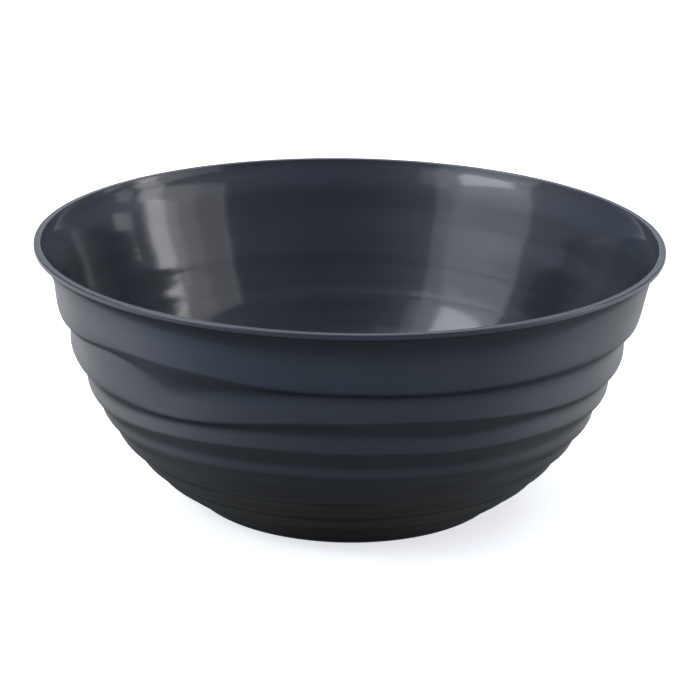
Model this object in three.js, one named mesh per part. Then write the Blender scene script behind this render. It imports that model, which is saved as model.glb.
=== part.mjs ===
// Terraced plastic mixing bowl: one injection-moulded shell.
// Millimetres, +Z up. The origin is the middle of the foot ring's resting face.
// Angles run round +Z: 0 at -Y, 90 at +X, 180 at +Y, 270 at -X.
// Depths "down the wall" are measured along the section from the lip.

import * as THREE from "three";
import { mergeVertices } from "three/addons/utils/BufferGeometryUtils.js";

// ---- driving dimensions -------------------------------------------------
const RIM_RADIUS = 150;      // outer edge of the lip
const HEIGHT = 127;          // resting face to the top of the lip
const LIP_HEIGHT = 2.7;      // depth of the lip's outer edge band
const LIP_WIDTH = 3.3;       // flat on top of the lip
const WALL = 2.6;            // mean wall thickness near the lip and the foot
const WALL_GAIN = 1.2;       // how much thicker the middle of the wall is
const GAIN_SPAN = [20, 80];  // the wall thickens between these depths
const EASE_SPAN = [92, 137]; // and thins again between these
const FOOT_RADIUS = 76.6;    // outer edge of the foot ring
const FOOT_WIDTH = 4.6;      // width of the foot ring's resting face
const FOOT_RECESS = 1.2;     // underside of the base above the resting face
const FLOOR = 3.6;           // top of the inside floor above the resting face
const INNER_RELIEF = 0.05;   // how much of the terracing shows inside
const INNER_FLARE = 2.2;     // how far the inside leans out towards the lip
const FLARE_DEPTH = 25;      // how far down the wall that lean reaches
const TOE = 0.36;            // rounded share of a slope, beside a hollow
const SHOULDER = 0.44;       // rounded share of a slope, beside a crest
const SEGMENTS = 72;         // sections round the bowl

// Mean section of the outer wall, radius and height, from the foot up.
const SECTION = [
  [77.4, 1.3], [81.6, 5.0], [91.9, 12.4], [101.9, 22.4], [112.1, 34.8], [121.4, 49.7],
  [128.0, 64.6], [133.9, 82.0], [139.5, 99.4], [144.6, 118.1], [146.6, 124.3],
];

// ---- terracing ----------------------------------------------------------
// Each list holds [angle, value] stations round the bowl, joined smoothly.
// CREST: how far down the wall each crest lies.
// SHARE: where the hollow under a crest lies, as a share of the way to the
//        next crest (the first row is the hollow under the lip).
// HIGH: how far a crest stands out from the mean wall (first row: the lip).
// DEEP: how far a hollow lies behind the mean wall.
// EDGE: 1 for a hard-edged crest, 0 for a rolled one.
// CREASE: 1 for a hard crease at the bottom of a hollow, 0 for a soft one.
const CREST = [
  [[0, 27.9], [15, 28.8], [30, 28.9], [45, 28.8], [60, 29.2], [75, 30.2], [90, 30.9], [105, 31.4], [120, 31.7], [135, 31.9], [150, 31.7], [165, 31.9], [180, 32.5], [195, 33.3], [210, 33.8], [225, 33.6], [240, 33], [255, 32.2], [270, 30.9], [285, 29.6], [295, 28.3], [303, 26.7], [310, 24.9], [318, 23.9], [325, 24.1], [332, 24.7], [340, 26.2], [350, 27.6]],
  [[0, 44.2], [10, 44], [20, 44.9], [30, 46.8], [40, 49.1], [50, 50.7], [60, 51.4], [75, 51.5], [90, 51.4], [105, 51.2], [120, 52], [135, 52.8], [150, 52], [165, 51.4], [180, 52], [195, 53.3], [210, 54.6], [225, 55.6], [240, 54.9], [255, 53.6], [270, 51.7], [284, 50.1], [300, 52.6], [312, 53.1], [320, 53.3], [330, 51.7], [340, 48.3], [350, 45.2]],
  [[0, 61.8], [10, 62.1], [20, 63.1], [30, 63.5], [40, 64], [50, 65], [60, 66.3], [75, 68.6], [90, 69.2], [105, 68.9], [120, 68.6], [135, 68.9], [150, 69.9], [165, 70.4], [180, 70.2], [195, 70.9], [210, 72.5], [225, 73.5], [240, 73.1], [255, 72.2], [270, 71.2], [285, 70.2], [300, 69.9], [310, 67.9], [320, 65.8], [330, 63.9], [340, 62.1], [350, 61.4]],
  [[0, 77], [10, 77.4], [20, 78.7], [30, 80], [45, 81.4], [60, 82.9], [75, 84], [90, 84.5], [105, 85.2], [120, 86.1], [135, 87.1], [150, 87.8], [165, 87.4], [180, 86.1], [195, 85.2], [210, 85.2], [225, 86.1], [240, 86.8], [255, 86.1], [270, 84.8], [285, 83.7], [300, 82.9], [315, 81.1], [330, 79.1], [340, 77.8], [350, 77]],
  [[0, 93.6], [15, 93], [30, 93], [45, 94.6], [60, 96.7], [70, 98.2], [90, 99.1], [105, 99.5], [120, 100.1], [135, 101.1], [150, 101.4], [165, 100.8], [180, 99.5], [195, 98.5], [210, 98.5], [225, 99.1], [240, 99.8], [255, 99.5], [270, 98.8], [285, 97.8], [300, 97.5], [315, 96.9], [330, 96], [345, 94.7]],
  [[0, 108.5], [15, 107.9], [30, 107.6], [45, 108.5], [60, 110.5], [75, 112.1], [90, 113.1], [105, 113.4], [120, 113.4], [135, 113.8], [150, 114.1], [165, 114.1], [180, 113.4], [195, 112.5], [210, 111.8], [225, 112.1], [240, 113.1], [255, 113.8], [270, 114.1], [285, 113.8], [300, 113.3], [315, 112.1], [330, 110.8], [345, 109.5]],
  [[0, 121.5], [15, 121.2], [30, 120.9], [45, 121.2], [60, 122.2], [75, 123.5], [90, 124.5], [105, 125.1], [120, 125.5], [135, 125.5], [150, 125.5], [165, 125.5], [180, 125.1], [195, 124.5], [210, 124.2], [225, 124.2], [240, 124.5], [255, 124.8], [270, 125.1], [285, 125.1], [300, 124.5], [315, 123.8], [330, 123], [345, 122.2]],
  [[0, 133.2], [30, 132.8], [60, 133.6], [90, 134.6], [120, 135.2], [150, 135.5], [180, 135.2], [210, 134.6], [240, 134.6], [270, 134.9], [300, 134.9], [330, 133.9]],
];
const SHARE = [
  [[0, 0.36], [20, 0.38], [30, 0.4], [40, 0.33], [50, 0.24], [60, 0.22], [75, 0.26], [90, 0.28], [120, 0.24], [150, 0.22], [180, 0.24], [210, 0.24], [240, 0.28], [270, 0.4], [285, 0.46], [292, 0.36], [300, 0.2], [310, 0.22], [320, 0.28], [330, 0.34], [345, 0.36]],
  [[0, 0.27], [15, 0.3], [30, 0.32], [45, 0.3], [60, 0.32], [75, 0.41], [90, 0.44], [105, 0.42], [120, 0.36], [135, 0.34], [150, 0.36], [165, 0.4], [180, 0.42], [195, 0.4], [210, 0.36], [225, 0.36], [240, 0.4], [255, 0.44], [270, 0.44], [285, 0.37], [295, 0.24], [305, 0.17], [313, 0.21], [319, 0.36], [324, 0.52], [330, 0.47], [338, 0.36], [348, 0.28]],
  [[0, 0.46], [10, 0.5], [20, 0.56], [30, 0.5], [40, 0.38], [50, 0.37], [60, 0.4], [75, 0.46], [90, 0.48], [120, 0.42], [150, 0.46], [180, 0.5], [210, 0.44], [240, 0.4], [270, 0.46], [285, 0.52], [300, 0.46], [310, 0.46], [320, 0.4], [330, 0.38], [345, 0.44]],
  [[0, 0.58], [20, 0.56], [45, 0.48], [75, 0.46], [105, 0.5], [135, 0.46], [165, 0.44], [195, 0.48], [225, 0.52], [255, 0.48], [285, 0.5], [315, 0.5], [340, 0.56]],
  [[0, 0.52], [30, 0.5], [75, 0.42], [120, 0.46], [165, 0.5], [210, 0.5], [250, 0.46], [285, 0.4], [320, 0.48]],
  [[0, 0.5], [45, 0.46], [75, 0.42], [120, 0.46], [180, 0.5], [240, 0.48], [285, 0.52], [320, 0.52]],
  [[0, 0.46], [60, 0.42], [120, 0.46], [180, 0.48], [240, 0.48], [290, 0.45]],
  [[0, 0.42], [60, 0.36], [120, 0.4], [180, 0.42], [240, 0.42], [290, 0.36]],
];
const HIGH = [
  [[0, 2.2], [90, 2.1], [180, 2.2], [270, 2.1]],
  [[0, 1.15], [30, 1.15], [60, 1.2], [76, 1.25], [105, 1.1], [150, 0.9], [200, 0.9], [250, 0.95], [284, 0.9], [300, 0.75], [312, 1.1], [325, 1.25], [345, 1.15]],
  [[0, 1.25], [30, 1.15], [60, 0.95], [76, 0.9], [105, 0.95], [150, 0.85], [200, 0.9], [240, 1.1], [270, 1.3], [284, 1.45], [300, 1.25], [315, 1.15], [330, 1.3], [345, 1.3]],
  [[0, 0.75], [40, 0.65], [76, 0.45], [120, 0.6], [170, 0.7], [220, 0.7], [284, 0.7], [320, 0.75]],
  [[0, 0.5], [76, 0.42], [150, 0.45], [220, 0.4], [284, 0.3], [330, 0.45]],
  [[0, 0.3], [76, 0.27], [180, 0.3], [284, 0.45]],
  [[0, 0.3], [76, 0.34], [180, 0.3], [284, 0.27]],
  [[0, 0.2], [76, 0.18], [180, 0.2], [284, 0.24]],
  [[0, 0.1], [180, 0.12]],
];
const DEEP = [
  [[0, 0.7], [30, 0.8], [45, 0.4], [60, 0.1], [76, -0.1], [90, -0.1], [120, 0.2], [180, 0.3], [240, 0.4], [270, 0.8], [284, 1], [293, 0.6], [300, 0.3], [315, 0.35], [330, 0.6]],
  [[0, 1.5], [30, 1.5], [50, 1.45], [76, 1.95], [105, 1.6], [150, 1.3], [200, 1.3], [250, 1.4], [284, 1.4], [297, 1.35], [310, 1.5], [318, 1.45], [326, 1.35], [338, 1.4]],
  [[0, 1.15], [40, 1.2], [76, 1.5], [120, 1.2], [180, 1.1], [240, 1], [284, 0.9], [320, 1.1]],
  [[0, 0.95], [40, 1], [76, 1.3], [120, 1], [180, 0.85], [240, 0.7], [284, 0.5], [320, 0.8]],
  [[0, 0.7], [76, 0.9], [150, 0.7], [220, 0.6], [284, 0.5], [330, 0.65]],
  [[0, 0.6], [76, 0.75], [180, 0.6], [284, 0.75]],
  [[0, 0.45], [76, 0.45], [180, 0.45], [284, 0.65]],
  [[0, 0.25], [76, 0.38], [180, 0.25], [284, 0.18]],
];
const EDGE = [
  [[0, 0.9], [30, 0.95], [50, 0.85], [65, 0.55], [90, 0.55], [120, 0.7], [180, 0.7], [240, 0.6], [270, 0.4], [285, 0.2], [300, 0.05], [308, 0.3], [316, 0.9], [325, 1], [345, 0.95]],
  [[0, 1], [30, 1], [45, 0.9], [60, 0.6], [90, 0.4], [120, 0.7], [180, 0.8], [240, 0.6], [270, 0.2], [284, 0.15], [300, 0.6], [315, 0.9], [330, 1], [345, 1]],
  [[0, 0.9], [45, 0.8], [75, 0.4], [120, 0.6], [180, 0.8], [240, 0.6], [284, 0.4], [315, 0.7]],
  [[0, 0.7], [75, 0.3], [180, 0.5], [284, 0.3]],
  [[0, 0.4], [180, 0.3]],
  [[0, 0.3], [180, 0.3]],
  [[0, 0.2], [180, 0.2]],
  [[0, 0.1], [180, 0.1]],
];
const CREASE = [
  [[0, 0], [180, 0]],
  [[0, 0.3], [20, 0.1], [60, 0.1], [90, 0.1], [150, 0.5], [180, 0.4], [225, 0.4], [270, 0.3], [288, 0.6], [298, 1], [312, 1], [319, 0.3], [326, 0], [345, 0.15]],
  [[0, 0], [90, 0.1], [150, 0.4], [210, 0.3], [260, 0.2], [290, 0.3], [315, 0.1]],
  [[0, 0], [150, 0.4], [220, 0.2], [300, 0]],
  [[0, 0], [180, 0.1]],
  [[0, 0], [180, 0]],
  [[0, 0], [180, 0]],
  [[0, 0], [180, 0]],
];

// ---- helpers ------------------------------------------------------------
// Closed smooth curve through [angle, value] stations.
function station(list, angle) {
  const n = list.length;
  const a = ((angle % 360) + 360) % 360;
  let i = n - 1;
  for (let k = 0; k < n; k++) if (list[k][0] <= a) i = k;
  const at = (k) => {
    const turn = Math.floor(k / n);
    const [x, y] = list[k - turn * n];
    return [x + 360 * turn, y];
  };
  const [p0, p1, p2, p3] = [at(i - 1), at(i), at(i + 1), at(i + 2)];
  const h = p2[0] - p1[0];
  const t = (a - p1[0]) / h;
  const m1 = (p2[1] - p0[1]) / (p2[0] - p0[0]) * h;
  const m2 = (p3[1] - p1[1]) / (p3[0] - p1[0]) * h;
  const t2 = t * t, t3 = t2 * t;
  return (2 * t3 - 3 * t2 + 1) * p1[1] + (t3 - 2 * t2 + t) * m1
       + (3 * t2 - 2 * t3) * p2[1] + (t3 - t2) * m2;
}

// Mean section: a spline, measured by its length down from the lip.
const spline = new THREE.SplineCurve(SECTION.map(([r, z]) => new THREE.Vector2(r, z)));
const STEPS = 800;
const table = [];
for (let i = 0; i <= STEPS; i++) table.push(spline.getPoint(1 - i / STEPS));
const down = [0];
for (let i = 1; i <= STEPS; i++) down.push(down[i - 1] + table[i].distanceTo(table[i - 1]));
const WALL_LENGTH = down[STEPS];

function section(s) {
  const d = Math.min(Math.max(s, 0), WALL_LENGTH);
  let lo = 0, hi = STEPS;
  while (hi - lo > 1) {
    const mid = (lo + hi) >> 1;
    if (down[mid] <= d) lo = mid; else hi = mid;
  }
  const f = (d - down[lo]) / (down[hi] - down[lo]);
  const p = table[lo].clone().lerp(table[hi], f);
  const a = table[Math.max(lo - 6, 0)], b = table[Math.min(hi + 6, STEPS)];
  const t = b.clone().sub(a).normalize();          // downwards along the wall
  return { r: p.x, z: p.y, nr: -t.y, nz: t.x };    // normal points outwards
}

const COUNT = CREST.length;

// Where crest k lies: crest 0 is the lip, crest COUNT + 1 is the foot.
function crestAt(k, angle) {
  if (k === 0) return 0;
  if (k > COUNT) return WALL_LENGTH;
  return station(CREST[k - 1], angle);
}

// From 0 at the foot of a slope to 1 at its top: straight, with a rounded
// toe over share a of its run and a rounded shoulder over share b.
function slope(x, a, b) {
  const full = 1 - a / 2 - b / 2;
  if (x < a) return x * x / (2 * a) / full;
  if (x > 1 - b) return 1 - (1 - x) * (1 - x) / (2 * b) / full;
  return (x - a / 2) / full;
}

// Relief between crest k and the one below it, at share t of the way down.
// soft = true gives the rolled form that shows on the inside.
function relief(k, t, angle, soft) {
  const a = k === 0 && soft ? 0 : station(HIGH[k], angle);
  if (k === COUNT) return a * (1 - t) * (1 - t);
  const b = -station(DEEP[k], angle);
  const c = station(HIGH[k + 1], angle);
  const v = station(SHARE[k], angle);
  const unit = (x) => Math.min(Math.max(x, 0), 1);
  const edgeAbove = k === 0 || soft ? 0 : unit(station(EDGE[k - 1], angle));
  const edgeBelow = soft ? 0 : unit(station(EDGE[k], angle));
  const crease = soft ? 0 : unit(station(CREASE[k], angle));
  const toe = TOE * (1 - crease) + 0.04;
  const shoulder = (edge) => SHOULDER * (1 - edge) + 0.04;
  if (t <= v) {
    if (k === 0) return b + (a - b) * (1 - t / v) * (1 - t / v);   // flare to the lip
    return b + (a - b) * slope(1 - t / v, toe, shoulder(edgeAbove));
  }
  return b + (c - b) * slope((t - v) / (1 - v), toe, shoulder(edgeBelow));
}

// Mean thickness of the wall at a depth down the section.
function thickness(s) {
  const ease = ([from, to]) => {
    const x = Math.min(Math.max((s - from) / (to - from), 0), 1);
    return x * x * (3 - 2 * x);
  };
  return WALL + WALL_GAIN * (ease(GAIN_SPAN) - ease(EASE_SPAN));
}

// A point of the wall. offset is measured outwards from the mean wall.
function wallPoint(k, t, angle, inside) {
  const s0 = crestAt(k, angle), s1 = crestAt(k + 1, angle);
  const s = s0 + (s1 - s0) * t;
  const m = section(s);
  const lean = Math.max(1 - s / FLARE_DEPTH, 0);
  const offset = inside
    ? INNER_RELIEF * relief(k, t, angle, true) - thickness(s) + INNER_FLARE * lean * lean
    : relief(k, t, angle, false);
  return [m.r + m.nr * offset, m.z + m.nz * offset];
}

// ---- rows of the section, from the middle of the underside, up the outside,
// over the lip and down the inside to the middle of the floor --------------
const rows = [];
const fixed = (r, z) => rows.push(() => [r, z]);
const wall = (k, t, inside) => rows.push((angle) => {
  // t given as a pair: [share of the way to the hollow, share past it]
  const v = k < COUNT ? station(SHARE[k], angle) : 0;
  const u = Array.isArray(t) ? (t[1] ? v + (1 - v) * t[1] : v * t[0]) : t;
  return wallPoint(k, u, angle, inside);
});

const footInner = FOOT_RADIUS - FOOT_WIDTH;
fixed(0, FOOT_RECESS);
fixed(footInner - 1.0, FOOT_RECESS);
fixed(footInner, 0);
fixed(FOOT_RADIUS - 0.6, 0);
fixed(FOOT_RADIUS, 0.6);
wall(COUNT, 0.97, false);
wall(COUNT, 0.5, false);
for (let k = COUNT - 1; k >= 1; k--) {
  wall(k + 1, 0, false);
  wall(k, [0, 0.28], false);
  wall(k, [1, 0], false);
  wall(k, [0.5, 0], false);
}
wall(1, 0, false);
wall(0, [0, 0.66], false);
wall(0, [0, 0.33], false);
wall(0, [1, 0], false);
wall(0, [0.6, 0], false);
wall(0, [0.25, 0], false);

// lip: a flat-topped bead
const top = HEIGHT, out = RIM_RADIUS;
fixed(out - 1.1, top - LIP_HEIGHT);
fixed(out - 0.2, top - LIP_HEIGHT + 0.7);
fixed(out, top - LIP_HEIGHT / 2);
fixed(out - 0.25, top - 0.45);
fixed(out - 0.9, top);
fixed(out - LIP_WIDTH, top);
fixed(out - LIP_WIDTH - 0.5, top - 0.6);

wall(0, [0.2, 0], true);
wall(0, [0.6, 0], true);
wall(0, [1, 0], true);
wall(0, [0, 0.35], true);
wall(0, [0, 0.7], true);
for (let k = 1; k < COUNT; k++) {
  wall(k, 0, true);
  wall(k, [1, 0], true);
}
wall(COUNT, 0, true);
wall(COUNT, 0.45, true);
fixed(72.0, FLOOR + 0.6);
fixed(66.0, FLOOR);
fixed(0, FLOOR);

// ---- the shell: a turned surface whose rows follow the terraces ----------
const turned = new THREE.LatheGeometry(
  rows.map((row) => new THREE.Vector2(...row(0))), SEGMENTS);
const position = turned.getAttribute("position");
for (let i = 0; i <= SEGMENTS; i++) {
  const turn = (i % SEGMENTS) / SEGMENTS;
  const sin = Math.sin(2 * Math.PI * turn), cos = Math.cos(2 * Math.PI * turn);
  for (let j = 0; j < rows.length; j++) {
    const [r, y] = rows[j](360 * turn);
    position.setXYZ(i * rows.length + j, r * sin, y, r * cos);
  }
}
turned.rotateX(Math.PI / 2);
turned.deleteAttribute("normal");
turned.deleteAttribute("uv");

// weld the seam and the two middle points, and drop the slivers left there
const shell = mergeVertices(turned, 1e-4);
const faces = shell.getIndex().array, kept = [];
for (let i = 0; i < faces.length; i += 3) {
  const [a, b, c] = [faces[i], faces[i + 1], faces[i + 2]];
  if (a !== b && b !== c && c !== a) kept.push(a, b, c);
}
shell.setIndex(kept);
shell.computeVertexNormals();

const navyPlastic = new THREE.MeshStandardMaterial({
  color: 0x2c323d, roughness: 0.36, metalness: 0,
});
const bowl = new THREE.Mesh(shell, navyPlastic);
bowl.name = "bowl_shell";

const object = new THREE.Group();
object.add(bowl);

export default object;
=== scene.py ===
# Looks for the terraced plastic mixing bowl. Metres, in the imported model's frame.
import bpy, math
import numpy as np
from mathutils import Matrix, Vector


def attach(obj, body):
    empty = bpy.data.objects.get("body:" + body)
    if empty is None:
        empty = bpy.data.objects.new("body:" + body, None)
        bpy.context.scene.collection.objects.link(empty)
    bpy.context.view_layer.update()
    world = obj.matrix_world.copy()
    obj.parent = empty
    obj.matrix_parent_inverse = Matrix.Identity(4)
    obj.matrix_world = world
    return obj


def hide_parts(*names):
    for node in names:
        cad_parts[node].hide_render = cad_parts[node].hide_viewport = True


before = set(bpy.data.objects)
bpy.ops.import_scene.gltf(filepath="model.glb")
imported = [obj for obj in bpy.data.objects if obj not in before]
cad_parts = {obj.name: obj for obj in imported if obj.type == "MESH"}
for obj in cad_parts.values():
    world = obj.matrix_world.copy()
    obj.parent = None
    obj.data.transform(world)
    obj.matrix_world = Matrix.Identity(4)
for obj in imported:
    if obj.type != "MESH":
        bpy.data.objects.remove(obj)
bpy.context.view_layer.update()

# ---------------------------------------------------------------------------
# The bowl's form, in millimetres: the same section and terraces as the CAD
# shell, sampled finely. Stations are [angle, value]; 0 is -Y and 90 is +X.
# ---------------------------------------------------------------------------
RIM_RADIUS = 150.0
HEIGHT = 127.0
LIP_HEIGHT = 2.7
LIP_WIDTH = 3.3
WALL = 2.6
WALL_GAIN = 1.2
GAIN_SPAN = (20.0, 80.0)
EASE_SPAN = (92.0, 137.0)
FOOT_RADIUS = 76.6
FOOT_WIDTH = 4.6
FOOT_RECESS = 1.2
FLOOR = 3.6
INNER_RELIEF = 0.03
INNER_FLARE = 2.2
FLARE_DEPTH = 25.0
TOE = 0.36
SHOULDER = 0.44

SECTION = [
  [77.4, 1.3], [81.6, 5.0], [91.9, 12.4], [101.9, 22.4], [112.1, 34.8], [121.4, 49.7],
  [128.0, 64.6], [133.9, 82.0], [139.5, 99.4], [144.6, 118.1], [146.6, 124.3],
]

CREST = [
  [[0, 27.9], [15, 28.8], [30, 28.9], [45, 28.8], [60, 29.2], [75, 30.2], [90, 30.9], [105, 31.4], [120, 31.7], [135, 31.9], [150, 31.7], [165, 31.9], [180, 32.5], [195, 33.3], [210, 33.8], [225, 33.6], [240, 33], [255, 32.2], [270, 30.9], [285, 29.6], [295, 28.3], [303, 26.7], [310, 24.9], [318, 23.9], [325, 24.1], [332, 24.7], [340, 26.2], [350, 27.6]],
  [[0, 44.2], [10, 44], [20, 44.9], [30, 46.8], [40, 49.1], [50, 50.7], [60, 51.4], [75, 51.5], [90, 51.4], [105, 51.2], [120, 52], [135, 52.8], [150, 52], [165, 51.4], [180, 52], [195, 53.3], [210, 54.6], [225, 55.6], [240, 54.9], [255, 53.6], [270, 51.7], [284, 50.1], [300, 52.6], [312, 53.1], [320, 53.3], [330, 51.7], [340, 48.3], [350, 45.2]],
  [[0, 61.8], [10, 62.1], [20, 63.1], [30, 63.5], [40, 64], [50, 65], [60, 66.3], [75, 68.6], [90, 69.2], [105, 68.9], [120, 68.6], [135, 68.9], [150, 69.9], [165, 70.4], [180, 70.2], [195, 70.9], [210, 72.5], [225, 73.5], [240, 73.1], [255, 72.2], [270, 71.2], [285, 70.2], [300, 69.9], [310, 67.9], [320, 65.8], [330, 63.9], [340, 62.1], [350, 61.4]],
  [[0, 77], [10, 77.4], [20, 78.7], [30, 80], [45, 81.4], [60, 82.9], [75, 84], [90, 84.5], [105, 85.2], [120, 86.1], [135, 87.1], [150, 87.8], [165, 87.4], [180, 86.1], [195, 85.2], [210, 85.2], [225, 86.1], [240, 86.8], [255, 86.1], [270, 84.8], [285, 83.7], [300, 82.9], [315, 81.1], [330, 79.1], [340, 77.8], [350, 77]],
  [[0, 93.6], [15, 93], [30, 93], [45, 94.6], [60, 96.7], [70, 98.2], [90, 99.1], [105, 99.5], [120, 100.1], [135, 101.1], [150, 101.4], [165, 100.8], [180, 99.5], [195, 98.5], [210, 98.5], [225, 99.1], [240, 99.8], [255, 99.5], [270, 98.8], [285, 97.8], [300, 97.5], [315, 96.9], [330, 96], [345, 94.7]],
  [[0, 108.5], [15, 107.9], [30, 107.6], [45, 108.5], [60, 110.5], [75, 112.1], [90, 113.1], [105, 113.4], [120, 113.4], [135, 113.8], [150, 114.1], [165, 114.1], [180, 113.4], [195, 112.5], [210, 111.8], [225, 112.1], [240, 113.1], [255, 113.8], [270, 114.1], [285, 113.8], [300, 113.3], [315, 112.1], [330, 110.8], [345, 109.5]],
  [[0, 121.5], [15, 121.2], [30, 120.9], [45, 121.2], [60, 122.2], [75, 123.5], [90, 124.5], [105, 125.1], [120, 125.5], [135, 125.5], [150, 125.5], [165, 125.5], [180, 125.1], [195, 124.5], [210, 124.2], [225, 124.2], [240, 124.5], [255, 124.8], [270, 125.1], [285, 125.1], [300, 124.5], [315, 123.8], [330, 123], [345, 122.2]],
  [[0, 133.2], [30, 132.8], [60, 133.6], [90, 134.6], [120, 135.2], [150, 135.5], [180, 135.2], [210, 134.6], [240, 134.6], [270, 134.9], [300, 134.9], [330, 133.9]],
]
SHARE = [
  [[0, 0.36], [20, 0.38], [30, 0.4], [40, 0.33], [50, 0.24], [60, 0.22], [75, 0.26], [90, 0.28], [120, 0.24], [150, 0.22], [180, 0.24], [210, 0.24], [240, 0.28], [270, 0.4], [285, 0.46], [292, 0.36], [300, 0.2], [310, 0.22], [320, 0.28], [330, 0.34], [345, 0.36]],
  [[0, 0.27], [15, 0.3], [30, 0.32], [45, 0.3], [60, 0.32], [75, 0.41], [90, 0.44], [105, 0.42], [120, 0.36], [135, 0.34], [150, 0.36], [165, 0.4], [180, 0.42], [195, 0.4], [210, 0.36], [225, 0.36], [240, 0.4], [255, 0.44], [270, 0.44], [285, 0.37], [295, 0.24], [305, 0.17], [313, 0.21], [319, 0.36], [324, 0.52], [330, 0.47], [338, 0.36], [348, 0.28]],
  [[0, 0.46], [10, 0.5], [20, 0.56], [30, 0.5], [40, 0.38], [50, 0.37], [60, 0.4], [75, 0.46], [90, 0.48], [120, 0.42], [150, 0.46], [180, 0.5], [210, 0.44], [240, 0.4], [270, 0.46], [285, 0.52], [300, 0.46], [310, 0.46], [320, 0.4], [330, 0.38], [345, 0.44]],
  [[0, 0.58], [20, 0.56], [45, 0.48], [75, 0.46], [105, 0.5], [135, 0.46], [165, 0.44], [195, 0.48], [225, 0.52], [255, 0.48], [285, 0.5], [315, 0.5], [340, 0.56]],
  [[0, 0.52], [30, 0.5], [75, 0.42], [120, 0.46], [165, 0.5], [210, 0.5], [250, 0.46], [285, 0.4], [320, 0.48]],
  [[0, 0.5], [45, 0.46], [75, 0.42], [120, 0.46], [180, 0.5], [240, 0.48], [285, 0.52], [320, 0.52]],
  [[0, 0.46], [60, 0.42], [120, 0.46], [180, 0.48], [240, 0.48], [290, 0.45]],
  [[0, 0.42], [60, 0.36], [120, 0.4], [180, 0.42], [240, 0.42], [290, 0.36]],
]
HIGH = [
  [[0, 2.2], [90, 2.1], [180, 2.2], [270, 2.1]],
  [[0, 1.15], [30, 1.15], [60, 1.2], [76, 1.25], [105, 1.1], [150, 0.9], [200, 0.9], [250, 0.95], [284, 0.9], [300, 0.75], [312, 1.1], [325, 1.25], [345, 1.15]],
  [[0, 1.25], [30, 1.15], [60, 0.95], [76, 0.9], [105, 0.95], [150, 0.85], [200, 0.9], [240, 1.1], [270, 1.3], [284, 1.45], [300, 1.25], [315, 1.15], [330, 1.3], [345, 1.3]],
  [[0, 0.75], [40, 0.65], [76, 0.45], [120, 0.6], [170, 0.7], [220, 0.7], [284, 0.7], [320, 0.75]],
  [[0, 0.5], [76, 0.42], [150, 0.45], [220, 0.4], [284, 0.3], [330, 0.45]],
  [[0, 0.3], [76, 0.27], [180, 0.3], [284, 0.45]],
  [[0, 0.3], [76, 0.34], [180, 0.3], [284, 0.27]],
  [[0, 0.2], [76, 0.18], [180, 0.2], [284, 0.24]],
  [[0, 0.1], [180, 0.12]],
]
DEEP = [
  [[0, 0.7], [30, 0.8], [45, 0.4], [60, 0.1], [76, -0.1], [90, -0.1], [120, 0.2], [180, 0.3], [240, 0.4], [270, 0.8], [284, 1], [293, 0.6], [300, 0.3], [315, 0.35], [330, 0.6]],
  [[0, 1.5], [30, 1.5], [50, 1.45], [76, 1.95], [105, 1.6], [150, 1.3], [200, 1.3], [250, 1.4], [284, 1.4], [297, 1.35], [310, 1.5], [318, 1.45], [326, 1.35], [338, 1.4]],
  [[0, 1.15], [40, 1.2], [76, 1.5], [120, 1.2], [180, 1.1], [240, 1], [284, 0.9], [320, 1.1]],
  [[0, 0.95], [40, 1], [76, 1.3], [120, 1], [180, 0.85], [240, 0.7], [284, 0.5], [320, 0.8]],
  [[0, 0.7], [76, 0.9], [150, 0.7], [220, 0.6], [284, 0.5], [330, 0.65]],
  [[0, 0.6], [76, 0.75], [180, 0.6], [284, 0.75]],
  [[0, 0.45], [76, 0.45], [180, 0.45], [284, 0.65]],
  [[0, 0.25], [76, 0.38], [180, 0.25], [284, 0.18]],
]
EDGE = [
  [[0, 0.9], [30, 0.95], [50, 0.85], [65, 0.55], [90, 0.55], [120, 0.7], [180, 0.7], [240, 0.6], [270, 0.4], [285, 0.2], [300, 0.05], [308, 0.3], [316, 0.9], [325, 1], [345, 0.95]],
  [[0, 1], [30, 1], [45, 0.9], [60, 0.6], [90, 0.4], [120, 0.7], [180, 0.8], [240, 0.6], [270, 0.2], [284, 0.15], [300, 0.6], [315, 0.9], [330, 1], [345, 1]],
  [[0, 0.9], [45, 0.8], [75, 0.4], [120, 0.6], [180, 0.8], [240, 0.6], [284, 0.4], [315, 0.7]],
  [[0, 0.7], [75, 0.3], [180, 0.5], [284, 0.3]],
  [[0, 0.4], [180, 0.3]],
  [[0, 0.3], [180, 0.3]],
  [[0, 0.2], [180, 0.2]],
  [[0, 0.1], [180, 0.1]],
]
CREASE = [
  [[0, 0], [180, 0]],
  [[0, 0.3], [20, 0.1], [60, 0.1], [90, 0.1], [150, 0.5], [180, 0.4], [225, 0.4], [270, 0.3], [288, 0.6], [298, 1], [312, 1], [319, 0.3], [326, 0], [345, 0.15]],
  [[0, 0], [90, 0.1], [150, 0.4], [210, 0.3], [260, 0.2], [290, 0.3], [315, 0.1]],
  [[0, 0], [150, 0.4], [220, 0.2], [300, 0]],
  [[0, 0], [180, 0.1]],
  [[0, 0], [180, 0]],
  [[0, 0], [180, 0]],
  [[0, 0], [180, 0]],
]

COUNT = len(CREST)
COLUMNS = 288
ANGLES = np.arange(COLUMNS) * 360.0 / COLUMNS


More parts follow.
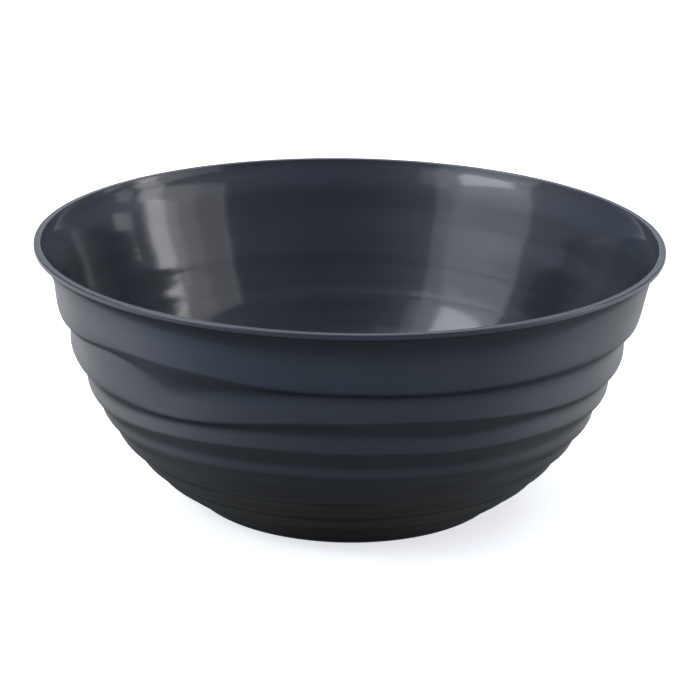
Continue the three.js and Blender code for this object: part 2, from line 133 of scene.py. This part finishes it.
def station(stations):
    """A closed smooth curve through [angle, value] stations, at every column."""
    xs = np.array([p[0] for p in stations], float)
    ys = np.array([p[1] for p in stations], float)
    n = len(xs)
    xs = np.concatenate([xs - 360, xs, xs + 360, xs + 720])
    ys = np.tile(ys, 4)
    i = np.searchsorted(xs, ANGLES, side="right") - 1
    p0, p1, p2, p3 = i - 1, i, i + 1, i + 2
    h = xs[p2] - xs[p1]
    t = (ANGLES - xs[p1]) / h
    m1 = (ys[p2] - ys[p0]) / (xs[p2] - xs[p0]) * h
    m2 = (ys[p3] - ys[p1]) / (xs[p3] - xs[p1]) * h
    t2, t3 = t * t, t * t * t
    return ((2 * t3 - 3 * t2 + 1) * ys[p1] + (t3 - 2 * t2 + t) * m1
            + (3 * t2 - 2 * t3) * ys[p2] + (t3 - t2) * m2)


def spline(points, t):
    p = np.array(points, float)
    n = len(p)
    q = (n - 1) * t
    i = np.minimum(np.floor(q).astype(int), n - 2)
    w = (q - i)[:, None]
    p0, p1, p2, p3 = p[np.maximum(i - 1, 0)], p[i], p[i + 1], p[np.minimum(i + 2, n - 1)]
    v0, v1 = (p2 - p0) * .5, (p3 - p1) * .5
    return (2 * p1 - 2 * p2 + v0 + v1) * w**3 + (-3 * p1 + 3 * p2 - 2 * v0 - v1) * w**2 + v0 * w + p1


STEPS = 1600
_line = spline(SECTION, 1 - np.arange(STEPS + 1) / STEPS)
_down = np.concatenate([[0], np.cumsum(np.hypot(*np.diff(_line, axis=0).T))])
WALL_LENGTH = float(_down[-1])
_tan = np.gradient(_line, _down, axis=0)
# a few millimetres of smoothing keeps the mean wall's normals even
_ker = np.hanning(41); _ker /= _ker.sum()
_pad = np.pad(_tan, ((20, 20), (0, 0)), mode="edge")
_tan = np.stack([np.convolve(_pad[:, c], _ker, mode="valid") for c in (0, 1)], 1)
_tan /= np.linalg.norm(_tan, axis=1)[:, None]


def section(s):
    """Mean wall at depth s down the section: radius, height, outward normal."""
    s = np.clip(s, 0, WALL_LENGTH)
    r, z = np.interp(s, _down, _line[:, 0]), np.interp(s, _down, _line[:, 1])
    tr, tz = np.interp(s, _down, _tan[:, 0]), np.interp(s, _down, _tan[:, 1])
    return r, z, -tz, tr


zero = np.zeros(COLUMNS)
crest = [zero] + [station(c) for c in CREST] + [zero + WALL_LENGTH]
share = [station(c) for c in SHARE]
high = [station(c) for c in HIGH]
deep = [-station(c) for c in DEEP]
edge = [zero] + [np.clip(station(c), 0, 1) for c in EDGE]
crease = [np.clip(station(c), 0, 1) for c in CREASE]


def slope(x, a, b):
    """0 at the foot of a slope to 1 at its top; a and b are its rounded toe and shoulder."""
    full = 1 - a / 2 - b / 2
    toe = x * x / (2 * a) / full
    head = 1 - (1 - x) ** 2 / (2 * b) / full
    return np.where(x < a, toe, np.where(x > 1 - b, head, (x - a / 2) / full))


def between(k, t, soft):
    """Relief at share t of the way from crest k down to crest k + 1."""
    a = high[k] * (1 - soft) if k == 0 else high[k]
    if k == COUNT:
        return a * (1 - t) ** 2
    b, c, v = deep[k], high[k + 1], share[k]
    toe = TOE * (1 - crease[k] * (1 - soft)) + .04
    head0 = SHOULDER * (1 - edge[k] * (1 - soft)) + .04
    head1 = SHOULDER * (1 - edge[k + 1] * (1 - soft)) + .04
    up = np.clip(1 - t / v, 0, 1)
    down_ = np.clip((t - v) / (1 - v), 0, 1)
    above = b + (a - b) * (up * up if k == 0 else slope(up, toe, head0))
    below = b + (c - b) * slope(down_, toe, head1)
    return np.where(t <= v, above, below)


def relief_at(s, soft):
    """Relief at depth s (one value per column), whatever terrace it lies in."""
    out = np.zeros_like(s)
    s = np.clip(s, 0, WALL_LENGTH)
    for k in range(COUNT + 1):
        inside = (s >= crest[k]) & (s <= crest[k + 1])
        t = np.clip((s - crest[k]) / (crest[k + 1] - crest[k]), 0, 1)
        out = np.where(inside, between(k, t, soft), out)
    return out


def rounded(s, soft, reach):
    """Relief with its crests and creases rounded over a reach in mm."""
    steps = np.linspace(-1, 1, 7)
    weights = np.cos(steps * np.pi / 2.4) ** 2
    weights /= weights.sum()
    return sum(w * relief_at(s + d * reach, soft) for d, w in zip(steps, weights))


def smooth(x):
    x = np.clip(x, 0, 1)
    return x * x * (3 - 2 * x)


# Faint lines left inside where the wall changes thickness: at what depth,
# from and to which angle, how deep and how wide.
SEAMS = [
    [[[90, 52.6], [134, 52.6], [150, 51.6], [160, 51.0], [180, 51.4], [270, 52.5]], 126, 184, .05, 1.6],
    [[[90, 70.2], [134, 69.9], [160, 69.9], [200, 70.4], [270, 70.6]], 122, 200, .055, 1.6],
    [[[90, 16.2], [180, 16.2], [270, 16.4]], 112, 184, .022, 1.8],
    [[[90, 32.2], [180, 32.4], [270, 33.6]], 112, 246, .028, 1.9],
    [[[90, 52.0], [180, 52.0], [205, 48.6], [228, 45.4], [270, 44.0]], 200, 254, .09, 2.4],
    [[[90, 65.0], [180, 65.0], [205, 63.4], [228, 61.0], [270, 59.4]], 200, 254, .08, 2.2],
]


def seams(s):
    """Depth of the faint lines at depth s down the inside."""
    total = np.zeros_like(s)
    for line, a0, a1, deep_, wide in SEAMS:
        at = np.interp(ANGLES, [p[0] for p in line], [p[1] for p in line])
        reach = smooth((ANGLES - a0) / 20) * smooth((a1 - ANGLES) / 20)
        total = total + deep_ * reach * np.exp(-((s - at) / wide) ** 2)
    return total


def wall_row(k, t):
    """One row of wall points. t < 1 runs from crest k to its hollow, 1 to 2 on to the next crest."""
    v = share[k] if k < COUNT else zero + .5
    u = np.where(t <= 1, v * t, v + (1 - v) * (t - 1))
    s = crest[k] + (crest[k + 1] - crest[k]) * u
    r, z, nr, nz = section(s)
    h = rounded(s, 0.0, 0.75)
    if k == 0:                                        # the flare meets the lip's underside
        h = np.where(s < 1.5, relief_at(s, 0.0), h)
    return r + nr * h, z + nz * h, s


rows = []          # (r, z, inside, down) with one value per column


def add(r, z, inside, s=0.0):
    rows.append((zero + r, zero + z, zero + inside, zero + s))


def wall(k, t):
    r, z, s = wall_row(k, t)
    rows.append((r, z, zero, s))


def arc(r0, z0, radius, a0, a1, n, inside):
    for a in np.radians(np.linspace(a0, a1, n)):
        add(r0 + radius * math.cos(a), z0 + radius * math.sin(a), inside)


# underside, from the middle outwards: gate nub, recessed base, foot ring
foot_in = FOOT_RADIUS - FOOT_WIDTH
for r, z in [(0, .55), (1.2, .55), (1.7, .62), (2.0, .85), (2.15, 1.15), (2.6, FOOT_RECESS + .02),
             (5.4, FOOT_RECESS), (5.8, FOOT_RECESS + .12), (6.4, FOOT_RECESS + .15), (8, FOOT_RECESS + .15)]:
    add(r, z, 0)
for r in np.linspace(14, foot_in - 5, 10):
    add(r, FOOT_RECESS + .15, 0)
for r, z in [(foot_in - 2.6, FOOT_RECESS + .14), (foot_in - 1.3, FOOT_RECESS + .04), (foot_in - .75, FOOT_RECESS - .25),
             (foot_in - .45, .55), (foot_in - .2, .15), (foot_in + .15, .02), (foot_in + .5, 0)]:
    add(r, z, 0)
add(FOOT_RADIUS - 2.2, 0, 0)
arc(FOOT_RADIUS - .9, .9, .9, -90, -8, 6, 0)

# outside wall
for t in np.linspace(1.97, 0.0, 15):
    wall(COUNT, t)
for k in range(COUNT - 1, -1, -1):
    n_low = 10 if k <= 4 else 8                     # hollow down to the next crest
    n_up = 9 if k <= 4 else 7
    for t in 2 - (1 - np.cos(np.linspace(0, np.pi, n_low + 1)[1:])) / 2:
        wall(k, t)
    stop = 0.12 if k == 0 else 0.0
    for t in np.linspace(1, stop, n_up + 1)[1:]:
        wall(k, t)

# lip: a flat-topped bead, a little proud at both edges
top, out = HEIGHT, RIM_RADIUS
inner_r = out - LIP_WIDTH
for r, z in [(out - 1.5, top - LIP_HEIGHT - .25), (out - 1.0, top - LIP_HEIGHT - .02)]:
    add(r, z, 0)
arc(out - .75, top - LIP_HEIGHT + .75, .75, -75, 0, 6, 0.15)
add(out, top - 1.35, .25)
arc(out - .7, top - .7, .7, 8, 90, 7, .4)
for f, dz in [(.25, -.07), (.5, -.10), (.75, -.07)]:
    add(out - .7 - (LIP_WIDTH - 1.3) * f, top + dz, .5)
arc(inner_r + .55, top - .55, .55, 90, 172, 7, .75)

def thickness(s):
    """Mean thickness of the wall at depth s."""
    gain, ease = [smooth((s - a) / (b - a)) for a, b in (GAIN_SPAN, EASE_SPAN)]
    return WALL + WALL_GAIN * (gain - ease)


# inside wall, by depth down the wall
def inner_row(depth):
    s = zero + depth
    r, z, nr, nz = section(s)
    lean = np.clip(1 - s / FLARE_DEPTH, 0, 1)
    h = INNER_RELIEF * rounded(s, 1.0, 1.3) - thickness(s) + INNER_FLARE * lean * lean - seams(s)
    rows.append((r + nr * h, z + nz * h, zero + 1.0, s))


for depth in np.concatenate([np.arange(1.2, 14, 1.6), np.arange(14, 19, 1.0), np.arange(19, 30, 2.2), np.arange(30, 36, 1.0),
                             np.arange(36, 49, 2.2), np.arange(49, 57.5, .8), np.arange(58, 68, 2.0), np.arange(68, 72.6, .8),
                             np.arange(74, WALL_LENGTH - 1, 3.0)]):
    inner_row(depth)
for r, z in [(74.0, FLOOR + 1.15), (71.0, FLOOR + .42), (68.5, FLOOR + .12), (66, FLOOR), (60, FLOOR)]:
    add(r, z, 1)
for r in (50, 38, 26, 15, 6, 0):
    add(r, FLOOR, 1)

R = np.array([row[0] for row in rows])
Z = np.array([row[1] for row in rows])
INSIDE = np.array([row[2] for row in rows])
DOWN = np.array([row[3] for row in rows])

TH = np.radians(ANGLES)[None, :]
X, Y = R * np.sin(TH), -R * np.cos(TH)
ROWS = len(rows)

verts, inside_value, down_value = [], [], []
index = -np.ones((ROWS, COLUMNS), int)
for j in range(ROWS):
    if R[j].max() < 1e-9:                       # a point on the axis
        index[j, :] = len(verts)
        verts.append((0.0, 0.0, float(Z[j, 0]) / 1000))
        inside_value.append(float(INSIDE[j, 0])); down_value.append(0.0)
        continue
    for i in range(COLUMNS):
        index[j, i] = len(verts)
        verts.append((X[j, i] / 1000, Y[j, i] / 1000, Z[j, i] / 1000))
        inside_value.append(float(INSIDE[j, i])); down_value.append(float(DOWN[j, i]) / 1000)
faces = []
for j in range(ROWS - 1):
    for i in range(COLUMNS):
        i2 = (i + 1) % COLUMNS
        quad = [index[j, i], index[j, i2], index[j + 1, i2], index[j + 1, i]]
        ring = []
        for q in quad:
            if q not in ring:
                ring.append(int(q))
        if len(ring) > 2:
            faces.append(ring)

mesh = bpy.data.meshes.new("bowl")
mesh.from_pydata(verts, [], faces)
mesh.update()
att = mesh.attributes.new("inside", "FLOAT", "POINT")
att.data.foreach_set("value", np.array(inside_value, np.float32))
att = mesh.attributes.new("down", "FLOAT", "POINT")
att.data.foreach_set("value", np.array(down_value, np.float32))
mesh.polygons.foreach_set("use_smooth", [True] * len(mesh.polygons))
bowl = bpy.data.objects.new("bowl", mesh)
bpy.context.scene.collection.objects.link(bowl)
print("bowl faces", len(faces), "triangles", sum(len(f) - 2 for f in faces), "rows", ROWS)

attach(bowl, "root")
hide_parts("bowl_shell")


# ---------------------------------------------------------------------------
# Materials
# ---------------------------------------------------------------------------
class Nodes:
    """Short hand for building a node tree."""
    def __init__(self, tree):
        self.tree = tree
        tree.nodes.clear()

    def add(self, kind, inputs=None, **props):
        node = self.tree.nodes.new(kind)
        for key, value in props.items():
            setattr(node, key, value)
        for key, value in (inputs or {}).items():
            socket = node.inputs[key]
            if isinstance(value, bpy.types.NodeSocket):
                self.tree.links.new(value, socket)
            else:
                socket.default_value = value
        return node

    def math(self, op, a, b=0.0, c=0.0, clamp=False):
        return self.add("ShaderNodeMath", {0: a, 1: b, 2: c}, operation=op, use_clamp=clamp).outputs[0]

    def range(self, x, a, b, lo, hi, kind="LINEAR"):
        return self.add("ShaderNodeMapRange", {"Value": x, "From Min": a, "From Max": b, "To Min": lo, "To Max": hi},
                        interpolation_type=kind).outputs["Result"]

    def noise(self, vector, scale, detail=3.0, rough=.5, distortion=0.0):
        return self.add("ShaderNodeTexNoise", {"Vector": vector, "Scale": scale, "Detail": detail, "Roughness": rough,
                                               "Distortion": distortion}).outputs["Fac"]


def make_plastic():
    mat = bpy.data.materials.new("navy_plastic")
    mat.use_nodes = True
    n = Nodes(mat.node_tree)
    place = n.add("ShaderNodeTexCoord").outputs["Object"]
    inside = n.add("ShaderNodeAttribute", attribute_name="inside").outputs["Fac"]

    # colour: navy with faint cloudy flow from the moulding, and fine paler specks
    cloud = n.noise(place, 14.0, 4.0, .55, .6)
    flow_place = n.add("ShaderNodeMapping", {"Vector": place, "Scale": (26.0, 26.0, 7.0)}).outputs[0]
    flow = n.noise(flow_place, 1.0, 3.0, .5, .9)
    speck = n.noise(place, 900.0, 2.0, .5)
    tone = n.math("ADD", n.math("MULTIPLY", cloud, .55), n.math("MULTIPLY", flow, .45))
    base = n.add("ShaderNodeValToRGB", {"Fac": n.range(tone, .33, .67, 0, 1)})
    ramp = base.color_ramp
    ramp.elements[0].color = (.0115, .0155, .0205, 1)
    ramp.elements[1].color = (.0155, .0205, .0265, 1)
    base = base.outputs["Color"]
    speck_mask = n.range(speck, .60, .74, 0, .35, "SMOOTHSTEP")
    base = n.add("ShaderNodeMix", {"Factor": speck_mask, "A": base, "B": (.028, .034, .041, 1)},
                 data_type="RGBA", blend_type="MIX")
    base = base.outputs["Result"]

    # towards the foot, painted shade darkens the outside wall and weakens its reflections; colour and reflection tint
    # also turn warmer
    down = n.add("ShaderNodeAttribute", attribute_name="down").outputs["Fac"]
    outside = n.range(inside, .0, .2, 1, 0)
    # painted shade: the outside gets darker towards the foot, and darker again at its very edge
    painted_foot_shade = n.math("ADD", n.range(down, .085, .142, 0, .46), n.range(down, .137, .145, 0, .26))
    painted_foot_shade = n.math("MULTIPLY", painted_foot_shade, outside)
    painted_foot_shade = n.math("MULTIPLY", painted_foot_shade, n.range(cloud, .3, .7, .92, 1.08))
    keep = n.math("SUBTRACT", 1.0, painted_foot_shade)
    base = n.add("ShaderNodeVectorMath", {0: base, "Scale": keep}, operation="SCALE").outputs["Vector"]
    # the painted shade also weakens the reflections towards the foot
    level = n.math("MULTIPLY", keep, .5)
    # colour and reflection tint turn warmer towards the foot
    foot_warmth = n.math("MULTIPLY", n.range(down, .035, .110, 0, 1), outside)
    # painted shade: the inside takes a darker copy of the same navy colour
    base = n.add("ShaderNodeVectorMath", {0: base, "Scale": n.range(inside, 0, 1, 1, .74)}, operation="SCALE").outputs["Vector"]
    tint = n.add("ShaderNodeMix", {"Factor": foot_warmth, "A": (1, 1, 1, 1), "B": (1.0, .82, .70, 1)},
                 data_type="RGBA", blend_type="MIX").outputs["Result"]
    base = n.add("ShaderNodeVectorMath", {0: base, 1: tint}, operation="MULTIPLY").outputs["Vector"]

    # inside, faint level bands along the tool's terraces: painted light and shade in the colour and painted reflection
    # in the strength of its reflections; the same bands also give a faint real bump
    band_place = n.add("ShaderNodeMapping", {"Vector": place, "Scale": (4.0, 4.0, 95.0)}).outputs[0]
    band = n.noise(band_place, 1.0, 2.0, .45, .15)
    painted_band_shading = n.add("ShaderNodeMix", {0: inside, 2: 1.0, 3: n.range(band, .33, .67, .80, 1.20)}, data_type="FLOAT").outputs[0]
    # painted light and shade: the bands brighten and darken the inside colour
    base = n.add("ShaderNodeVectorMath", {0: base, "Scale": painted_band_shading}, operation="SCALE").outputs["Vector"]
    level = n.math("MULTIPLY", level, painted_band_shading)

    # gloss: satin outside, polished inside, with wiped and handled patches
    wipe_place = n.add("ShaderNodeMapping", {"Vector": place, "Scale": (9.0, 9.0, 30.0)}).outputs[0]
    wipe = n.noise(wipe_place, 1.0, 4.0, .6, .4)
    fine = n.noise(place, 260.0, 3.0, .6)
    outer = n.math("ADD", n.range(wipe, .3, .7, .31, .38), n.range(fine, .3, .7, -.02, .02))
    inner = n.math("ADD", n.range(wipe, .3, .7, .085, .125), n.range(fine, .3, .7, -.008, .008))
    haze = n.range(wipe, .3, .7, .42, .50)
    rough = n.add("ShaderNodeMix", {0: inside, 2: outer, 3: haze}, data_type="FLOAT").outputs[0]
    polish = n.math("MULTIPLY", inside, .78)
    level = n.math("MULTIPLY", level, n.range(inside, 0, 1, 1, .55))

    # surface: fine tool grain outside, faint ripple inside
    grain = n.noise(place, 1500.0, 2.0, .6)
    ripple = n.noise(place, 55.0, 2.0, .5, .3)
    grain_depth = n.range(inside, 0, 1, .000012, .000002)
    height = n.math("ADD", n.math("MULTIPLY", grain, grain_depth), n.math("MULTIPLY", ripple, .00005))
    height = n.math("ADD", height, n.math("MULTIPLY", n.math("MULTIPLY", band, inside), .00009))
    bump = n.add("ShaderNodeBump", {"Height": height, "Strength": 1.0, "Distance": 1.0}).outputs["Normal"]

    shader = n.add("ShaderNodeBsdfPrincipled", {"Base Color": base, "Roughness": rough, "Normal": bump,
                                                "Metallic": 0.0, "IOR": 1.49,
                                                "Specular IOR Level": level, "Specular Tint": tint,
                                                "Coat Weight": polish, "Coat Roughness": inner,
                                                "Coat IOR": 1.49, "Coat Normal": bump})
    out = n.add("ShaderNodeOutputMaterial", {"Surface": shader.outputs[0]})
    return mat


plastic = make_plastic()
bowl.data.materials.append(plastic)
for name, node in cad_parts.items():
    node.data.materials.clear()
    node.data.materials.append(plastic)

# ---------------------------------------------------------------------------
# Floor, light and camera
# ---------------------------------------------------------------------------
size = 6.0
fm = bpy.data.meshes.new("floor")
fm.from_pydata([(-size, -size, 0), (size, -size, 0), (size, size, 0), (-size, size, 0)], [], [(0, 1, 2, 3)])
floor = bpy.data.objects.new("floor", fm)
bpy.context.scene.collection.objects.link(floor)
floor.location.z = -0.0002
fmat = bpy.data.materials.new("floor_paper")
fmat.use_nodes = True
n = Nodes(fmat.node_tree)
place = n.add("ShaderNodeTexCoord").outputs["Object"]
paper = n.range(n.noise(place, 900.0, 2.0, .5), .3, .7, .88, .90)
paper = n.add("ShaderNodeCombineColor", {"Red": paper, "Green": paper, "Blue": paper}).outputs[0]
sh = n.add("ShaderNodeBsdfPrincipled", {"Base Color": paper, "Roughness": .9, "Specular IOR Level": .1,
                                        "Emission Color": (1, 1, 1, 1), "Emission Strength": .60})
n.add("ShaderNodeOutputMaterial", {"Surface": sh.outputs[0]})
floor.data.materials.append(fmat)
floor.visible_glossy = False
floor.visible_diffuse = False


def direction(az, el):
    """az from the camera's side (-Y) towards +X, el above the floor, in degrees."""
    a, e = math.radians(az), math.radians(el)
    return Vector((math.sin(a) * math.cos(e), -math.cos(a) * math.cos(e), math.sin(e)))


def window(name, az0, az1, el0, el1, radiance, color=(1, 1, 1), dist=2.2, centre=(0, 0, .09)):
    """An upright panel of light that fills those angles, seen from the bowl."""
    az = (az0 + az1) / 2
    w = 2 * dist * math.tan(math.radians((az1 - az0) / 2))
    z0, z1 = dist * math.tan(math.radians(el0)), dist * math.tan(math.radians(el1))
    light = bpy.data.lights.new(name, "AREA")
    light.shape = "RECTANGLE"
    light.size, light.size_y = w, z1 - z0
    light.energy = radiance * math.pi * w * (z1 - z0)
    light.color = color
    light.use_shadow = True
    o = bpy.data.objects.new(name, light)
    bpy.context.scene.collection.objects.link(o)
    d = direction(az, 0)
    o.location = Vector(centre) + d * dist + Vector((0, 0, (z0 + z1) / 2))
    # local -Z faces the bowl, local Y is up
    zl = d
    yl = Vector((0, 0, 1))
    xl = yl.cross(zl)
    o.rotation_mode = "QUATERNION"
    o.rotation_quaternion = Matrix((xl, yl, zl)).transposed().to_quaternion()
    return o


COOL = (.93, .98, 1.03)
WARM = (1.0, .985, 1.0)
window("left_pane", -82.5, -44, -3, 29, 1.5, COOL)
window("left_pane_mid", -82, -46, 17, 29, .60, COOL, dist=2.25)
window("left_pane_high", -81, -48, 24, 29, .75, COOL, dist=2.3)
window("left_jamb", -44, -38, -3, 29, 1.25, COOL)
window("left_sky", -75, -50, 30, 47, 6.3, COOL)
window("left_head", -83.5, -38, 29, 52, 2.0, COOL, dist=2.35)
window("left_edge", -38, -32, 29, 52, .9, COOL)
window("left_glow", -36, -17, 47, 64, .5, COOL)
window("left_glow_far", -17, -4, 53, 64, .35, COOL)
window("right_pane", 57.5, 97, -3, 29, 1.2, WARM)
window("right_line", 56.4, 57.8, 3, 29, 2.0, WARM, dist=2.15)
window("right_mid", 70, 96, -3, 27, .6, WARM, dist=2.1)
window("right_strip_low", 85, 94.5, -3, 19, 4.7, WARM, dist=2.05)
window("right_strip_soft", 79, 85, -3, 18, 1.3, WARM, dist=2.05)
window("left_high", -130, -84, 44, 66, 6.0, COOL)
window("right_high", 84, 130, 44, 66, 4.0, COOL)
window("right_strip_high", 87, 99, 18, 36, 2.6, WARM, dist=2.05)
window("right_far_low", 103, 113, -3, 12, 1.9, WARM)
window("right_far_high", 102.5, 111, 18, 36, 1.2, WARM)

top_light = bpy.data.lights.new("softbox", "AREA")
top_light.shape = "RECTANGLE"
top_light.size, top_light.size_y = 1.6, 1.2
top_light.energy = 11.0
softbox = bpy.data.objects.new("softbox", top_light)
bpy.context.scene.collection.objects.link(softbox)
softbox.location = (0, .25, 1.9)

# world: a dim room above, pale surroundings low down at the back and sides
world = bpy.data.worlds.new("studio")
bpy.context.scene.world = world
world.use_nodes = True
n = Nodes(world.node_tree)
d = n.add("ShaderNodeTexCoord").outputs["Generated"]
xyz = n.add("ShaderNodeSeparateXYZ", {0: d}).outputs
x2 = n.math("MULTIPLY", xyz["X"], xyz["X"])
flat2 = n.math("MAXIMUM", n.math("ADD", x2, n.math("MULTIPLY", xyz["Y"], xyz["Y"])), .0001)
side = n.math("DIVIDE", x2, flat2)                      # 1 at the sides, 0 ahead and behind
side2 = n.math("MULTIPLY", side, side)
lean = n.range(xyz["X"], -.8, .8, 1.18, .84)            # a little brighter on the left
not_behind = n.range(xyz["Y"], -.05, .65, 1.0, .08, "SMOOTHSTEP")
wide = n.math("ABSOLUTE", xyz["X"])
under = n.math("SUBTRACT", xyz["Y"], n.math("MULTIPLY", wide, 1.6))   # the shaded ground under the bowl
ground = n.math("MULTIPLY", n.range(xyz["Z"], -.10, .05, .20, 0, "SMOOTHSTEP"), n.range(under, .05, .38, 1, .10))
near = n.math("MULTIPLY", n.range(xyz["Z"], -.90, -.56, 0, 1, "SMOOTHSTEP"),
              n.math("MULTIPLY", n.math("ADD", .40, n.math("MULTIPLY", side, .14)), not_behind))
far_side = n.math("MULTIPLY", side2, n.range(xyz["Y"], -.6, .1, .22, 1.05))
far = n.math("MULTIPLY", n.range(xyz["Z"], -.66, -.48, 0, 1, "SMOOTHSTEP"), n.math("ADD", far_side, .06))
rear = n.math("MULTIPLY", n.range(xyz["Z"], -.54, -.36, 0, 1, "SMOOTHSTEP"), n.range(xyz["Y"], .10, .60, 0, .75, "SMOOTHSTEP"))
cut = n.range(xyz["Z"], -.02, .10, 1, 0, "SMOOTHSTEP")
cut_lean = n.math("MULTIPLY", cut, lean)
near = n.math("MULTIPLY", near, cut_lean)
far = n.math("MULTIPLY", n.math("ADD", far, rear), cut_lean)
above = n.range(xyz["Z"], -.04, .08, 0, 1, "SMOOTHSTEP")
beam = n.math("SUBTRACT", n.range(xyz["Z"], .44, .53, 0, .14, "SMOOTHSTEP"), n.range(xyz["Z"], .55, .62, 0, .20, "SMOOTHSTEP"))
level_up = n.math("MULTIPLY", n.math("ADD", .43, beam), n.range(xyz["X"], -.8, .8, 1.14, .90))
level_up = n.math("MULTIPLY", level_up, n.range(xyz["Y"], .15, .60, 1, .60, "SMOOTHSTEP"))
ahead = n.math("MULTIPLY", n.range(wide, .12, .60, .30, 0, "SMOOTHSTEP"), n.range(xyz["Y"], -.6, -.2, 1, 0, "SMOOTHSTEP"))
level_up = n.math("MULTIPLY", level_up, n.math("SUBTRACT", 1.0, ahead))
up = n.math("MULTIPLY", above, level_up)
far = n.math("ADD", far, n.math("MULTIPLY", n.math("MULTIPLY", above, side2), n.range(xyz["X"], -.8, .8, .16, .10)))
glow = n.math("MULTIPLY", n.range(xyz["Y"], .78, .95, 0, .70, "SMOOTHSTEP"), n.range(xyz["Z"], -.10, .02, 0, 1, "SMOOTHSTEP"))
glow = n.math("MULTIPLY", glow, n.range(xyz["Z"], .30, .50, 1, .3, "SMOOTHSTEP"))
far = n.math("ADD", far, glow)
camera_ray = n.add("ShaderNodeLightPath").outputs["Is Camera Ray"]
seen = n.add("ShaderNodeBackground", {"Color": (1, 1, 1, 1), "Strength": 1.0})
sky = n.add("ShaderNodeBackground", {"Color": (.79, .92, 1.30, 1), "Strength": n.math("ADD", near, up)})
wings = n.add("ShaderNodeBackground", {"Color": (.965, .985, 1.03, 1), "Strength": far})
table = n.add("ShaderNodeBackground", {"Color": (.92, 1.02, 1.02, 1), "Strength": ground})
lit = n.add("ShaderNodeAddShader", {0: sky.outputs[0], 1: wings.outputs[0]})
lit = n.add("ShaderNodeAddShader", {0: lit.outputs[0], 1: table.outputs[0]})
mix = n.add("ShaderNodeMixShader", {0: camera_ray, 1: lit.outputs[0], 2: seen.outputs[0]})
n.add("ShaderNodeOutputWorld", {"Surface": mix.outputs[0]})

# camera: the viewing angle measured from the rim and foot ellipses
ELEVATION = math.radians(19.439)
DISTANCE = 7 * .150
ROLL = math.radians(.932)
cam = bpy.data.cameras.new("camera")
cam.sensor_fit = "HORIZONTAL"
cam.sensor_width = 36.0
cam.lens = 2151.1 / 700 * 36.0
cam.shift_x = (350 - 348.008) / 700
cam.shift_y = (359.5 - 350) / 700
cam.clip_start, cam.clip_end = .05, 50
camera = bpy.data.objects.new("camera", cam)
bpy.context.scene.collection.objects.link(camera)
aim = Vector((0, 0, HEIGHT / 2000))
eye = aim + Vector((0, -math.cos(ELEVATION), math.sin(ELEVATION))) * DISTANCE
look = (aim - eye).to_track_quat("-Z", "Y").to_matrix().to_4x4()
camera.matrix_world = Matrix.Translation(eye) @ look @ Matrix.Rotation(ROLL, 4, "Z")
bpy.context.scene.camera = camera

scene = bpy.context.scene
scene.view_settings.view_transform = "Standard"
scene.view_settings.look = "None"
scene.view_settings.exposure = 0
scene.view_settings.gamma = 1
